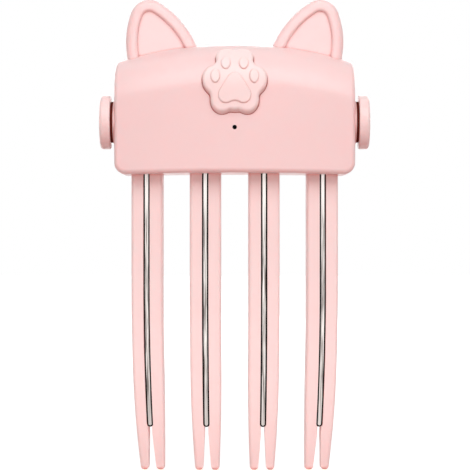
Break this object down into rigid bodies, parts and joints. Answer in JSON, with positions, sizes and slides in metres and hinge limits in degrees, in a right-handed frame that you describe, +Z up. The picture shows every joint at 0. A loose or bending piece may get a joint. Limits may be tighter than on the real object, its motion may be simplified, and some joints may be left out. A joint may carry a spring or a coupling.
{
  "type": "volumizing hair iron",
  "caption": "Cordless comb-shaped hair iron that lifts hair at the roots with forked heated teeth, a paw-shaped power button, ear ornaments and turning end knobs",
  "frame": {"origin": "under the middle of the comb, level with the tips of its teeth", "axes": "+X to the right of the front face, +Y from the front to the back, +Z up from the tips to the ears"},
  "size_m": [0.0872, 0.0286, 0.1533],
  "materials": {
    "shell_plastic": "satin moulded plastic",
    "cap_plastic": "satin moulded plastic",
    "tooth_plastic": "heat resistant satin plastic",
    "knob_plastic": "satin gloss plastic",
    "strip_metal": "bare extruded aluminium",
    "liner_plastic": "black insulating liner",
    "carrier_plastic": "glass filled black plastic",
    "spreader_metal": "milled",
    "heater_body": "wrapped heater plate",
    "fuse_can": "drawn can",
    "insulation": "glass fibre sheet",
    "bush_plastic": "acetal",
    "steel": "zinc plated steel",
    "board": "solder mask",
    "switch_body": "black",
    "switch_plunger": "black",
    "led": "moulded lens",
    "light_pipe": "smoked",
    "cell_wrap": "heat shrink film",
    "foam": "closed cell foam",
    "port_shell": "stamped steel"
  },
  "bodies": {
    "housing": {"front_shell": "shell_plastic", "rear_cover": "shell_plastic", "tact_switch": "switch_body", "control_board": "board", "status_led": "led", "light_pipe": "light_pipe", "battery_cell": "cell_wrap", "battery_foam": "foam", "usb_c_port": "port_shell", "charge_board": "board", "fork_carrier": "carrier_plastic", "heat_spreader": "spreader_metal", "ptc_heater": "heater_body", "thermal_fuse": "fuse_can", "insulation_sheet": "insulation", "cover_screws": "steel", "board_screws": "steel", "carrier_screws": "steel", "fork_1": "tooth_plastic", "heating_strip_1": "strip_metal", "strip_liner_1": "liner_plastic", "fork_2": "tooth_plastic", "heating_strip_2": "strip_metal", "strip_liner_2": "liner_plastic", "fork_3": "tooth_plastic", "heating_strip_3": "strip_metal", "strip_liner_3": "liner_plastic", "fork_4": "tooth_plastic", "heating_strip_4": "strip_metal", "strip_liner_4": "liner_plastic", "left_bush": "bush_plastic", "right_bush": "bush_plastic"},
    "paw": {"paw_button": "cap_plastic", "switch_plunger": "switch_plunger"},
    "left_dial": {"left_knob": "knob_plastic", "left_washer": "steel", "left_knob_screw": "steel"},
    "right_dial": {"right_knob": "knob_plastic", "right_washer": "steel", "right_knob_screw": "steel"}
  },
  "joints": [
    {"name": "paw_press", "type": "slide", "parent": "housing", "child": "paw", "axis": [0, 0.891, -0.454], "range_m": [0, 0.0006], "stiffness_N_per_m": 1500, "springref_m": -0.0005},
    {"name": "left_knob_spin", "type": "hinge", "parent": "housing", "child": "left_dial", "pos_m": [-0.0399, 0.0001, 0.1135], "axis": [1, 0, 0], "continuous": true},
    {"name": "right_knob_spin", "type": "hinge", "parent": "housing", "child": "right_dial", "pos_m": [0.0399, 0.0001, 0.1135], "axis": [1, 0, 0], "continuous": true}
  ]
}
